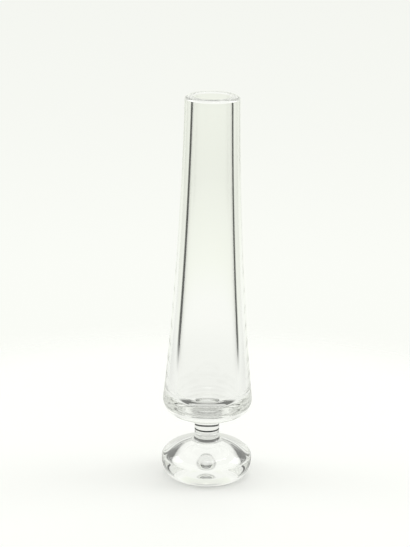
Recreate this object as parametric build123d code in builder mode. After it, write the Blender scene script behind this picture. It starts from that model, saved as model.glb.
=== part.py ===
from build123d import *
import math
import os

# Footed bud vase in clear glass, round about the Z axis and standing on z = 0.
# It is put together hot from three pieces of solid glass: foot, stem button and body.
# All sizes are in millimetres.

# Whole vase, up to the inner edge of its lip as it is before that edge is rounded
vase_height = 250.0

# Foot: a thick pebble of glass whose side and crown are two oval curves that meet where it is widest,
# with a short neck drawn up from the crown
foot_radius = 29.0
foot_rest_radius = 23.0
foot_widest_height = 12.4
foot_crown_height = 24.2
foot_neck_length = 7.2
foot_flare_radius = 3.0

# Underside of the foot: a shallow hollow that leaves a ring to stand on, and in its middle
# the round dish that is ground and polished where the pontil rod was broken off
hollow_radius = 20.0
hollow_depth = 5.0
pontil_radius = 9.5
pontil_depth = 2.6

# Stem button: the short solid cylinder between the two fused seams
stem_radius = 8.0
stem_length = 7.0

# Softened edge on both sides of each fused seam
seam_bevel = 0.6

# Body: the hollow vessel with its thick bottom, the neck drawn down from that bottom,
# and a polished lip that slopes down and out across the wall
body_neck_length = 2.9
body_flare_radius = 2.0
base_radius = 29.8
base_corner_radius = 10.7
base_thickness = 9.7
wall_bow = 2.46
rim_radius = 17.3
rim_wall = 5.2
rim_slope = 0.4
base_wall = 8.8
bore_bow = 1.5
bore_corner_radius = 8.0
rim_outer_round = 1.9
rim_inner_round = 0.5

# Heights and radii that follow from these
lower_seam_height = foot_crown_height + foot_neck_length
upper_seam_height = lower_seam_height + stem_length
underside_height = upper_seam_height + body_neck_length
bore_floor_height = underside_height + base_thickness
bore_mouth_radius = rim_radius - rim_wall
lip_edge_height = vase_height - rim_slope
bore_floor_radius = base_radius - base_wall
hollow_sphere_radius = (hollow_radius**2 + hollow_depth**2) / (2 * hollow_depth)
hollow_sphere_height = hollow_depth - hollow_sphere_radius
pontil_rim_height = hollow_sphere_height + math.sqrt(hollow_sphere_radius**2 - pontil_radius**2)
pontil_sphere_radius = (pontil_radius**2 + pontil_depth**2) / (2 * pontil_depth)
pontil_sphere_height = pontil_rim_height + pontil_depth - pontil_sphere_radius

os.makedirs("parts", exist_ok=True)

# Foot
with BuildPart() as foot:
    with BuildSketch(Plane.XZ) as foot_section:
        with BuildLine():
            Line((0, 0), (foot_rest_radius, 0))
            EllipticalCenterArc(
                (foot_rest_radius, foot_widest_height),
                foot_radius - foot_rest_radius,
                foot_widest_height,
                start_angle=270,
                arc_size=90,
            )
            EllipticalCenterArc(
                (0, foot_widest_height),
                foot_radius,
                foot_crown_height - foot_widest_height,
                start_angle=0,
                arc_size=90,
            )
            Line((0, foot_crown_height), (0, 0))
        make_face()
        with Locations((0, foot_widest_height)):
            Rectangle(
                stem_radius,
                lower_seam_height - foot_widest_height,
                align=(Align.MIN, Align.MIN),
            )
        neck_root = foot_section.vertices().sort_by_distance((stem_radius, foot_crown_height))[0]
        fillet(neck_root, radius=foot_flare_radius)
        neck_top = foot_section.vertices().sort_by_distance((stem_radius, lower_seam_height))[0]
        chamfer(neck_top, length=seam_bevel)
    revolve(axis=Axis.Z)
    with Locations((0, 0, hollow_sphere_height)):
        Sphere(hollow_sphere_radius, mode=Mode.SUBTRACT)
    with Locations((0, 0, pontil_sphere_height)):
        Sphere(pontil_sphere_radius, mode=Mode.SUBTRACT)
foot.part.label = "foot"
export_step(foot.part, "parts/foot.step")

# Stem button
with BuildPart() as stem:
    with BuildSketch(Plane.XY.offset(lower_seam_height)):
        Circle(stem_radius)
    extrude(amount=stem_length)
    chamfer(stem.edges().filter_by(GeomType.CIRCLE), length=seam_bevel)
stem.part.label = "stem"
export_step(stem.part, "parts/stem.step")

# Body: outer wall and bore are two gentle arcs, both bowed in towards the axis
with BuildPart() as body:
    with BuildSketch(Plane.XZ) as body_section:
        with BuildLine():
            SagittaArc((base_radius, underside_height), (rim_radius, lip_edge_height), wall_bow)
            Polyline(
                (rim_radius, lip_edge_height),
                (bore_mouth_radius, vase_height),
                (0, vase_height),
                (0, underside_height),
                (base_radius, underside_height),
            )
        make_face()
        with BuildLine():
            SagittaArc(
                (bore_floor_radius, bore_floor_height),
                (bore_mouth_radius, vase_height),
                bore_bow,
            )
            Polyline(
                (bore_mouth_radius, vase_height),
                (0, vase_height),
                (0, bore_floor_height),
                (bore_floor_radius, bore_floor_height),
            )
        make_face(mode=Mode.SUBTRACT)
        with Locations((0, upper_seam_height)):
            Rectangle(stem_radius, body_neck_length, align=(Align.MIN, Align.MIN))
        corners = (
            ((rim_radius, lip_edge_height), rim_outer_round),
            ((bore_mouth_radius, vase_height), rim_inner_round),
            ((bore_floor_radius, bore_floor_height), bore_corner_radius),
            ((base_radius, underside_height), base_corner_radius),
            ((stem_radius, underside_height), body_flare_radius),
        )
        for corner, rounding in corners:
            fillet(body_section.vertices().sort_by_distance(corner)[0], radius=rounding)
        neck_end = body_section.vertices().sort_by_distance((stem_radius, upper_seam_height))[0]
        chamfer(neck_end, length=seam_bevel)
    revolve(axis=Axis.Z)
body.part.label = "body"
export_step(body.part, "parts/body.step")
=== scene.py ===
import math

import bpy
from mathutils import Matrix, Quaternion, Vector


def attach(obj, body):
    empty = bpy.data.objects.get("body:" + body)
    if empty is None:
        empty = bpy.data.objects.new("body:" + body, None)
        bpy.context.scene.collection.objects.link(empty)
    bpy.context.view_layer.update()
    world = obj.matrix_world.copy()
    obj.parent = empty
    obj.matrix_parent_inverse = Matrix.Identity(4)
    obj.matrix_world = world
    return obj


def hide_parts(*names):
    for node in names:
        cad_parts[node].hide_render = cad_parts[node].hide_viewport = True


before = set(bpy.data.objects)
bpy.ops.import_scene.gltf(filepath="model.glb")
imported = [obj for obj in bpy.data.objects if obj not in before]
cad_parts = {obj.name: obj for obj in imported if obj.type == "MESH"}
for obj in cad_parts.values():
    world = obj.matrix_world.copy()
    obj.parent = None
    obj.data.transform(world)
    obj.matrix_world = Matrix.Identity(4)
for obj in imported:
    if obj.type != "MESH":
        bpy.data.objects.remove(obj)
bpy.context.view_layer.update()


# Foot: a thick pebble of clear glass with a short neck drawn up from its crown.
# It is gathered and shaped hot, and stands on a ring round a shallow hollow, in the middle of which
# the mark of the pontil rod is ground out to a round dish and polished.
mm = 0.001

stem_radius = 8.0 * mm
lower_seam = 31.4 * mm
seam_groove = 0.6 * mm
seam_soft = 0.8 * mm
# Width of the line of painted shade in each seam's groove.
seam_shade_width = 1.0 * mm
seam_steps = 8
lathe_steps = 192
crease_angle = math.radians(28)
least_move = 0.005 * mm
weld_distance = 0.001 * mm

foot_radius = 29.0 * mm
foot_rest = 23.0 * mm
foot_widest = 12.4 * mm
foot_crown = 24.2 * mm
foot_flare = 3.0 * mm
hollow_radius = 20.0 * mm
hollow_depth = 5.0 * mm
pontil_radius = 9.5 * mm
pontil_depth = 2.6 * mm

down = math.radians(-90)
up = math.radians(90)
inwards = math.radians(180)


def oval(centre, wide, tall, start, end, steps):
    """Points of the half section along an oval curve, as (distance from the axis, height)."""
    points = []
    for step in range(steps + 1):
        angle = start + (end - start) * step / steps
        points.append((centre[0] + wide * math.cos(angle), centre[1] + tall * math.sin(angle)))
    return points


def arc(centre, radius, start, end, steps):
    """Points of the half section along a round arc."""
    return oval(centre, radius, radius, start, end, steps)


def dish(radius, depth, rim_height):
    """Height of the centre and radius of the ball that leaves a dish of that width and depth."""
    ball = (radius**2 + depth**2) / (2 * depth)
    return rim_height + depth - ball, ball


def seam_edge(height, side):
    """The softened end of a piece at a fused seam: side is 1 where the piece lies above it."""
    points = []
    for step in range(seam_steps + 1):
        angle = up * step / seam_steps
        points.append(
            (
                stem_radius - seam_groove * (1 - math.sin(angle)),
                height + side * seam_soft * (1 - math.cos(angle)),
            )
        )
    return points if side > 0 else points[::-1]


def turn_on_lathe(name, outline):
    """A solid of glass from its half section, drawn point by point from axis to axis and spun round Z."""
    bpy.ops.object.select_all(action="DESELECT")
    bpy.ops.mesh.primitive_plane_add(size=mm)
    piece = bpy.context.object
    piece.name = name
    piece.data.name = name
    bpy.ops.object.mode_set(mode="EDIT")
    bpy.ops.mesh.select_all(action="SELECT")
    bpy.ops.mesh.merge(type="CENTER")
    here = (0.0, 0.0)
    for count, point in enumerate(outline):
        move = (point[0] - here[0], 0.0, point[1] - here[1])
        if count == 0:
            bpy.ops.transform.translate(value=move)
        elif math.hypot(move[0], move[2]) > least_move:
            bpy.ops.mesh.extrude_vertices_move(TRANSFORM_OT_translate={"value": move})
        else:
            continue
        here = point
    bpy.ops.mesh.select_all(action="SELECT")
    bpy.ops.mesh.spin(steps=lathe_steps, angle=math.radians(360), center=(0, 0, 0), axis=(0, 0, 1))
    bpy.ops.mesh.select_all(action="SELECT")
    bpy.ops.mesh.remove_doubles(threshold=weld_distance)
    bpy.ops.mesh.normals_make_consistent(inside=False)
    bpy.ops.object.mode_set(mode="OBJECT")
    bpy.ops.object.shade_smooth_by_angle(angle=crease_angle)
    return piece


hollow_centre, hollow_ball = dish(hollow_radius, hollow_depth, 0)
pontil_rim = hollow_centre + math.sqrt(hollow_ball**2 - pontil_radius**2)
pontil_centre, pontil_ball = dish(pontil_radius, pontil_depth, pontil_rim)
pontil_turn = math.acos(pontil_radius / pontil_ball)
hollow_turn = math.acos(hollow_radius / hollow_ball)
hollow_start = math.acos(pontil_radius / hollow_ball)

crown_rise = foot_crown - foot_widest
crown_low = 0.0
crown_end = up
for halving in range(40):
    crown_try = (crown_low + crown_end) / 2
    crown_slope = math.atan2(math.sin(crown_try) / crown_rise, math.cos(crown_try) / foot_radius)
    flare_r = foot_radius * math.cos(crown_try) + foot_flare * math.cos(crown_slope)
    if flare_r > stem_radius + foot_flare:
        crown_low = crown_try
    else:
        crown_end = crown_try
flare_z = foot_widest + crown_rise * math.sin(crown_end) + foot_flare * math.sin(crown_slope)

foot_outline = arc((0, pontil_centre), pontil_ball, up, pontil_turn, 16)
foot_outline += arc((0, hollow_centre), hollow_ball, hollow_start, hollow_turn, 16)
foot_outline += oval((foot_rest, foot_widest), foot_radius - foot_rest, foot_widest, down, 0, 48)
foot_outline += oval((0, foot_widest), foot_radius, crown_rise, 0, crown_end, 48)
foot_outline += arc((flare_r, flare_z), foot_flare, crown_slope - inwards, -inwards, 14)
foot_outline += seam_edge(lower_seam, -1)
foot_outline += [(0, lower_seam)]
foot = turn_on_lathe("foot_glass", foot_outline)

# The glass is clear and colourless, with a faint green-grey in thick places.
# Its surface is fire-polished, so it is very slightly uneven, with a breath of haze here and there.
glass_ior = 1.52
glass_tint = (0.93, 0.95, 0.88, 1.0)
tint_density = 0.5

glass = bpy.data.materials.new("clear_glass")
glass.use_nodes = True
nodes = glass.node_tree.nodes
links = glass.node_tree.links
shader = nodes["Principled BSDF"]
shader.inputs["Base Color"].default_value = (1.0, 1.0, 1.0, 1.0)
shader.inputs["Transmission Weight"].default_value = 1.0
shader.inputs["IOR"].default_value = glass_ior

place = nodes.new("ShaderNodeTexCoord")
draw_out = nodes.new("ShaderNodeMapping")
draw_out.inputs["Scale"].default_value = (60.0, 60.0, 18.0)
links.new(place.outputs["Object"], draw_out.inputs["Vector"])
unevenness = nodes.new("ShaderNodeTexNoise")
unevenness.inputs["Scale"].default_value = 1.0
unevenness.inputs["Detail"].default_value = 1.0
links.new(draw_out.outputs["Vector"], unevenness.inputs["Vector"])
waviness = nodes.new("ShaderNodeBump")
waviness.inputs["Strength"].default_value = 0.06
waviness.inputs["Distance"].default_value = 0.3 * mm
links.new(unevenness.outputs["Fac"], waviness.inputs["Height"])
links.new(waviness.outputs["Normal"], shader.inputs["Normal"])

smudges = nodes.new("ShaderNodeTexNoise")
smudges.inputs["Scale"].default_value = 90.0
smudges.inputs["Detail"].default_value = 3.0
links.new(place.outputs["Object"], smudges.inputs["Vector"])
haze = nodes.new("ShaderNodeMapRange")
haze.inputs["From Min"].default_value = 0.45
haze.inputs["From Max"].default_value = 0.8
haze.inputs["To Min"].default_value = 0.0
haze.inputs["To Max"].default_value = 0.005
links.new(smudges.outputs["Fac"], haze.inputs["Value"])
links.new(haze.outputs["Result"], shader.inputs["Roughness"])

tint = nodes.new("ShaderNodeVolumeAbsorption")
tint.inputs["Color"].default_value = glass_tint
tint.inputs["Density"].default_value = tint_density
links.new(tint.outputs["Volume"], nodes["Material Output"].inputs["Volume"])

# Where two pieces are fused there is no air between them, so light goes straight on through the joint.
fused = bpy.data.materials.new("fused_joint")
fused.use_nodes = True
joint_shader = fused.node_tree.nodes["Principled BSDF"]
joint_shader.inputs["Base Color"].default_value = (1.0, 1.0, 1.0, 1.0)
joint_shader.inputs["Transmission Weight"].default_value = 1.0
joint_shader.inputs["Roughness"].default_value = 0.0
joint_shader.inputs["IOR"].default_value = 1.0
joint_tint = fused.node_tree.nodes.new("ShaderNodeVolumeAbsorption")
joint_tint.inputs["Color"].default_value = glass_tint
joint_tint.inputs["Density"].default_value = tint_density
fused.node_tree.links.new(
    joint_tint.outputs["Volume"], fused.node_tree.nodes["Material Output"].inputs["Volume"]
)

# The groove round a seam holds a fine dark line: painted shade, an opaque dark colour standing in for the
# dark that the groove's glass refracts.
seam_shade_line = bpy.data.materials.new("seam_shade_line")
seam_shade_line.use_nodes = True
seam_shade_shader = seam_shade_line.node_tree.nodes["Principled BSDF"]
seam_shade_shader.inputs["Base Color"].default_value = (0.06, 0.065, 0.06, 1.0)
seam_shade_shader.inputs["Roughness"].default_value = 0.4

joint_tolerance = 0.02 * mm


def finish_glass(piece, seams):
    """Gives a piece its glass, and at each seam the clear joint and the groove's line of painted shade."""
    piece.data.materials.append(glass)
    piece.data.materials.append(fused)
    piece.data.materials.append(seam_shade_line)
    for face in piece.data.polygons:
        for seam in seams:
            from_axis = math.hypot(face.center.x, face.center.y)
            from_seam = abs(face.center.z - seam)
            if from_seam < joint_tolerance and from_axis < stem_radius - seam_groove:
                face.material_index = 1
            # Faces near the seam but outside the joint get the opaque painted shade line.
            elif from_seam < seam_shade_width / 2:
                face.material_index = 2


finish_glass(foot, [lower_seam])
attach(foot, "root")
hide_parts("foot")


# Stem button: a short solid cylinder of the same glass, laid hot on the foot's neck.
# The two fused seams show as fine grooves round its ends, each holding a line of painted shade.
stem_length = 7.0 * mm
upper_seam = lower_seam + stem_length

stem_outline = [(0, lower_seam)]
stem_outline += seam_edge(lower_seam, 1)
stem_outline += seam_edge(upper_seam, -1)
stem_outline += [(0, upper_seam)]
stem = turn_on_lathe("stem_glass", stem_outline)
finish_glass(stem, [lower_seam, upper_seam])
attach(stem, "root")
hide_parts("stem")


# Body: the blown vessel, thick-walled, widening in one long bow from the mouth down to a round corner.
# Its thick bottom is drawn out to a neck that is fused to the stem button, and the lip is cut and polished.
vase_height = 250.0 * mm
body_neck = 2.9 * mm
body_flare = 2.0 * mm
base_radius = 29.8 * mm
base_corner = 10.7 * mm
base_thickness = 9.7 * mm
wall_bow = 2.46 * mm
rim_radius = 17.3 * mm
rim_wall = 5.2 * mm
rim_slope = 0.4 * mm
base_wall = 8.8 * mm
bore_bow = 1.5 * mm
bore_corner = 8.0 * mm
rim_outer_round = 1.9 * mm
rim_inner_round = 0.5 * mm

underside = upper_seam + body_neck
bore_floor = underside + base_thickness


def bowed_line(low, high, bow):
    """Centre and radius of the arc from low to high that bows in towards the axis by that much."""
    chord = math.dist(low, high)
    radius = (chord**2 / 4 + bow**2) / (2 * bow)
    reach = (radius - bow) / chord
    middle = ((low[0] + high[0]) / 2, (low[1] + high[1]) / 2)
    centre = (middle[0] + (high[1] - low[1]) * reach, middle[1] - (high[0] - low[0]) * reach)
    return centre, radius


def beside(line, start, way, gap):
    """Where a straight path from start passes that far from the bowed line, on its axis side."""
    centre, radius = line
    along = (centre[0] - start[0]) * way[0] + (centre[1] - start[1]) * way[1]
    reach = along - math.sqrt(along**2 - math.dist(centre, start)**2 + (radius + gap)**2)
    return start[0] + reach * way[0], start[1] + reach * way[1]


def bearing(start, end):
    """Direction from start to end in the half section."""
    return math.atan2(end[1] - start[1], end[0] - start[0])


mouth_radius = rim_radius - rim_wall
mouth = (mouth_radius, vase_height)
wall = bowed_line((base_radius, underside), (rim_radius, vase_height - rim_slope), wall_bow)
bore = bowed_line((base_radius - base_wall, bore_floor), mouth, bore_bow)
level = (1.0, 0.0)
lip_width = math.hypot(rim_wall, rim_slope)
lip_way = (rim_wall / lip_width, -rim_slope / lip_width)
lip_face = (rim_slope / lip_width, rim_wall / lip_width)
under_lip = (mouth[0] - rim_outer_round * lip_face[0], mouth[1] - rim_outer_round * lip_face[1])
in_lip = (mouth[0] - rim_inner_round * lip_face[0], mouth[1] - rim_inner_round * lip_face[1])

corner_at = beside(wall, (0, underside + base_corner), level, base_corner)
lip_outside = beside(wall, under_lip, lip_way, rim_outer_round)
lip_inside = beside(bore, in_lip, lip_way, -rim_inner_round)
bore_corner_at = beside(bore, (0, bore_floor + bore_corner), level, bore_corner)

corner_end = bearing(corner_at, wall[0])
lip_start = bearing(lip_outside, wall[0])
lip_top = math.atan2(lip_face[1], lip_face[0])
lip_end = bearing(bore[0], lip_inside) % math.radians(360)
bore_corner_start = bearing(bore_corner_at, bore[0])

body_outline = [(0, upper_seam)]
body_outline += seam_edge(upper_seam, 1)
body_outline += arc((stem_radius + body_flare, underside - body_flare), body_flare, inwards, up, 14)
body_outline += arc(corner_at, base_corner, down, corner_end, 24)
body_outline += arc(wall[0], wall[1], inwards + corner_end, inwards + lip_start, 72)
body_outline += arc(lip_outside, rim_outer_round, lip_start, lip_top, 10)
body_outline += arc(lip_inside, rim_inner_round, lip_top, lip_end, 10)
body_outline += arc(bore[0], bore[1], lip_end, inwards + bore_corner_start, 72)
body_outline += arc(bore_corner_at, bore_corner, bore_corner_start, down, 24)
body_outline += [(0, bore_floor)]
body = turn_on_lathe("body_glass", body_outline)
finish_glass(body, [upper_seam])
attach(body, "root")
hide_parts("body")


# Table: the white board that the vase stands on, running out of sight into the white behind it.
# It takes the vase's soft shadow. Through the glass it glows white instead, with a painted shadow ring
# round the foot, where the vase stands in its own shade, and a paler painted pool of light under the hollow
# in the middle.
floor_radius = 330.0 * mm
floor_gap = 0.4 * mm
fade_start = 0.7 * floor_radius
fade_end = 0.99 * floor_radius
studio_white = (0.985, 1.0, 0.95)
board_lift = 0.3

bpy.ops.object.select_all(action="DESELECT")
bpy.ops.mesh.primitive_circle_add(
    vertices=96, radius=floor_radius, fill_type="NGON", location=(0, 0, -floor_gap)
)
table = bpy.context.object
table.name = "table_board"
bpy.ops.object.transform_apply(location=True, rotation=True, scale=True)

board = bpy.data.materials.new("white_board")
board.use_nodes = True
nodes = board.node_tree.nodes
links = board.node_tree.links
paint = nodes["Principled BSDF"]
paint.inputs["Base Color"].default_value = (0.65, 0.65, 0.645, 1.0)
paint.inputs["Roughness"].default_value = 0.9
paint.inputs["Specular IOR Level"].default_value = 0.1

path = nodes.new("ShaderNodeLightPath")
lift = nodes.new("ShaderNodeMath")
lift.operation = "MULTIPLY"
lift.inputs[1].default_value = board_lift
links.new(path.outputs["Is Camera Ray"], lift.inputs[0])
glow = nodes.new("ShaderNodeEmission")
glow.inputs["Color"].default_value = (*studio_white, 1.0)
links.new(lift.outputs["Value"], glow.inputs["Strength"])
lit_board = nodes.new("ShaderNodeAddShader")
links.new(paint.outputs["BSDF"], lit_board.inputs[0])
links.new(glow.outputs["Emission"], lit_board.inputs[1])

board_place = nodes.new("ShaderNodeTexCoord")
from_middle = nodes.new("ShaderNodeVectorMath")
from_middle.operation = "LENGTH"
links.new(board_place.outputs["Object"], from_middle.inputs[0])
outwards = nodes.new("ShaderNodeMapRange")
outwards.inputs["From Max"].default_value = floor_radius
links.new(from_middle.outputs["Value"], outwards.inputs["Value"])
painted_shadow_and_light = nodes.new("ShaderNodeValToRGB")
links.new(outwards.outputs["Result"], painted_shadow_and_light.inputs["Fac"])


def paint_tones(ramp, tones, low, high):
    """Sets a ramp to tones of the studio's white, each given by its place between low and high."""
    stops = ramp.color_ramp.elements
    stops.remove(stops[-1])
    for place, tone in tones:
        stop = stops[0] if place == low else stops.new((place - low) / (high - low))
        stop.color = (*(tone * part for part in studio_white), 1.0)


# Painted shadow: a dark ring round the foot. Painted light: a paler pool under its hollow. Both are seen
# only through the glass.
paint_tones(
    painted_shadow_and_light,
    (
        (0, 0.7),
        (30 * mm, 0.7),
        (36 * mm, 0.15),
        (52 * mm, 0.15),
        (62 * mm, 0.9),
        (floor_radius, 0.95),
    ),
    0,
    floor_radius,
)
in_glass = nodes.new("ShaderNodeMath")
in_glass.operation = "ADD"
in_glass.use_clamp = True
links.new(path.outputs["Is Glossy Ray"], in_glass.inputs[0])
links.new(path.outputs["Is Transmission Ray"], in_glass.inputs[1])
# For rays through the glass the board glows with these painted tones instead of being lit.
painted_board_glow = nodes.new("ShaderNodeEmission")
links.new(painted_shadow_and_light.outputs["Color"], painted_board_glow.inputs["Color"])
seen_board = nodes.new("ShaderNodeMixShader")
links.new(in_glass.outputs["Value"], seen_board.inputs["Fac"])
links.new(lit_board.outputs["Shader"], seen_board.inputs[1])
links.new(painted_board_glow.outputs["Emission"], seen_board.inputs[2])
fade = nodes.new("ShaderNodeMapRange")
fade.interpolation_type = "SMOOTHSTEP"
fade.inputs["From Min"].default_value = fade_start
fade.inputs["From Max"].default_value = fade_end
links.new(from_middle.outputs["Value"], fade.inputs["Value"])
clear = nodes.new("ShaderNodeBsdfTransparent")
edge_of_board = nodes.new("ShaderNodeMixShader")
links.new(fade.outputs["Result"], edge_of_board.inputs["Fac"])
links.new(seen_board.outputs["Shader"], edge_of_board.inputs[1])
links.new(clear.outputs["BSDF"], edge_of_board.inputs[2])
links.new(edge_of_board.outputs["Shader"], nodes["Material Output"].inputs["Surface"])
table.data.materials.append(board)


# Studio: a white paper sweep behind the vase, dark flags to both sides of it that draw the edges of the
# glass, a pale room and ceiling round the camera, and three soft lamps, overhead, left and right.
studio = bpy.data.worlds.new("studio")
bpy.context.scene.world = studio
studio.use_nodes = True
nodes = studio.node_tree.nodes
links = studio.node_tree.links
backdrop = nodes["Background"]

view_way = nodes.new("ShaderNodeTexCoord")
split = nodes.new("ShaderNodeSeparateXYZ")
links.new(view_way.outputs["Generated"], split.inputs["Vector"])
round_about = nodes.new("ShaderNodeMath")
round_about.operation = "ARCTAN2"
links.new(split.outputs["X"], round_about.inputs[0])
links.new(split.outputs["Y"], round_about.inputs[1])
turn = nodes.new("ShaderNodeMapRange")
turn.inputs["From Min"].default_value = -math.pi
turn.inputs["From Max"].default_value = math.pi
links.new(round_about.outputs["Value"], turn.inputs["Value"])
walls = nodes.new("ShaderNodeValToRGB")
links.new(turn.outputs["Result"], walls.inputs["Fac"])
paint_tones(
    walls,
    (
        (-180, 0.85),
        (-88, 0.8),
        (-72, 0.25),
        (-63, 0.03),
        (-53, 0.03),
        (-47, 1.0),
        (50, 1.0),
        (56, 0.03),
        (63, 0.03),
        (72, 0.25),
        (88, 0.8),
        (180, 0.85),
    ),
    -180,
    180,
)

height_angle = nodes.new("ShaderNodeMath")
height_angle.operation = "ARCSINE"
links.new(split.outputs["Z"], height_angle.inputs[0])
tilt = nodes.new("ShaderNodeMapRange")
tilt.inputs["From Min"].default_value = -math.pi / 2
tilt.inputs["From Max"].default_value = math.pi / 2
links.new(height_angle.outputs["Value"], tilt.inputs["Value"])
sweep = nodes.new("ShaderNodeValToRGB")
links.new(tilt.outputs["Result"], sweep.inputs["Fac"])
paint_tones(sweep, ((-90, 0.975), (-16, 0.975), (-12, 0.94), (-8, 0.92), (90, 0.92)), -90, 90)
paper = nodes.new("ShaderNodeValToRGB")
links.new(tilt.outputs["Result"], paper.inputs["Fac"])
paint_tones(
    paper, ((-90, 1.0), (-17, 0.96), (-14, 0.87), (-12, 0.91), (-8, 0.93), (10, 1.0)), -90, 90
)
papered = nodes.new("ShaderNodeMix")
papered.data_type = "RGBA"
papered.blend_type = "MULTIPLY"
papered.inputs["Factor"].default_value = 1.0
links.new(walls.outputs["Color"], papered.inputs[6])
links.new(paper.outputs["Color"], papered.inputs[7])
ceiling = nodes.new("ShaderNodeValToRGB")
links.new(tilt.outputs["Result"], ceiling.inputs["Fac"])
paint_tones(
    ceiling, ((-90, 0.95), (14, 1.0), (42, 1.0), (50, 0.35), (70, 0.35), (90, 0.8)), -90, 90
)
reach = nodes.new("ShaderNodeValToRGB")
links.new(tilt.outputs["Result"], reach.inputs["Fac"])
paint_tones(reach, ((-90, 1.0), (-18.2, 1.0), (-16.8, 0.0), (6, 0.0), (12, 1.0)), -90, 90)
room = nodes.new("ShaderNodeMix")
room.data_type = "RGBA"
links.new(reach.outputs["Color"], room.inputs["Factor"])
links.new(papered.outputs[2], room.inputs[6])
links.new(ceiling.outputs["Color"], room.inputs[7])

studio_path = nodes.new("ShaderNodeLightPath")
seen = nodes.new("ShaderNodeMix")
seen.data_type = "RGBA"
links.new(studio_path.outputs["Is Camera Ray"], seen.inputs["Factor"])
links.new(room.outputs[2], seen.inputs[6])
links.new(sweep.outputs["Color"], seen.inputs[7])
links.new(seen.outputs[2], backdrop.inputs["Color"])
backdrop.inputs["Strength"].default_value = 1.0

lamp_target = Vector((0, 0, 100.0 * mm))


def hang_softbox(name, size, watts, place):
    """Hangs a square soft lamp that lights the table and the vase, aimed at the lower body."""
    lamp = bpy.data.lights.new(name, "AREA")
    lamp.shape = "SQUARE"
    lamp.size = size
    lamp.energy = watts
    lamp_object = bpy.data.objects.new(name, lamp)
    bpy.context.scene.collection.objects.link(lamp_object)
    lamp_object.visible_transmission = False
    lamp_object.location = place
    aim = lamp_target - Vector(place)
    lamp_object.rotation_euler = aim.to_track_quat("-Z", "Y").to_euler()


hang_softbox("softbox_overhead", 0.8, 4.0, (0.12, 0.15, 1.3))
hang_softbox("softbox_left", 0.5, 1.8, (-0.75, 0.1, 0.5))
hang_softbox("softbox_right", 0.5, 1.9, (0.75, 0.1, 0.5))


# Camera: a long lens a little above the lip, rolled by about a degree, as the photograph was taken.
# Its distance and tilt give the lip the flat oval that the photograph shows.
image_height = 547
focal_pixels = 2057.0
sensor_height = 24.0
camera_away = 1250.0 * mm
rim_tilt = math.radians(11.5)
camera_roll = math.radians(0.945)
look_at = Vector((-2.88 * mm, 0, 135.25 * mm))

camera_data = bpy.data.cameras.new("camera")
camera_data.sensor_fit = "VERTICAL"
camera_data.sensor_height = sensor_height
camera_data.lens = focal_pixels * sensor_height / image_height
camera = bpy.data.objects.new("camera", camera_data)
bpy.context.scene.collection.objects.link(camera)
camera.location = (0, -camera_away, vase_height + camera_away * math.tan(rim_tilt))
camera_aim = look_at - Vector(camera.location)
camera_turn = camera_aim.to_track_quat("-Z", "Y") @ Quaternion((0, 0, 1), camera_roll)
camera.rotation_euler = camera_turn.to_euler()
bpy.context.scene.camera = camera

glass_bounces = 64
scene = bpy.context.scene
scene.view_settings.view_transform = "Standard"
scene.cycles.max_bounces = glass_bounces
scene.cycles.transmission_bounces = glass_bounces
scene.cycles.glossy_bounces = glass_bounces
scene.cycles.transparent_max_bounces = 32
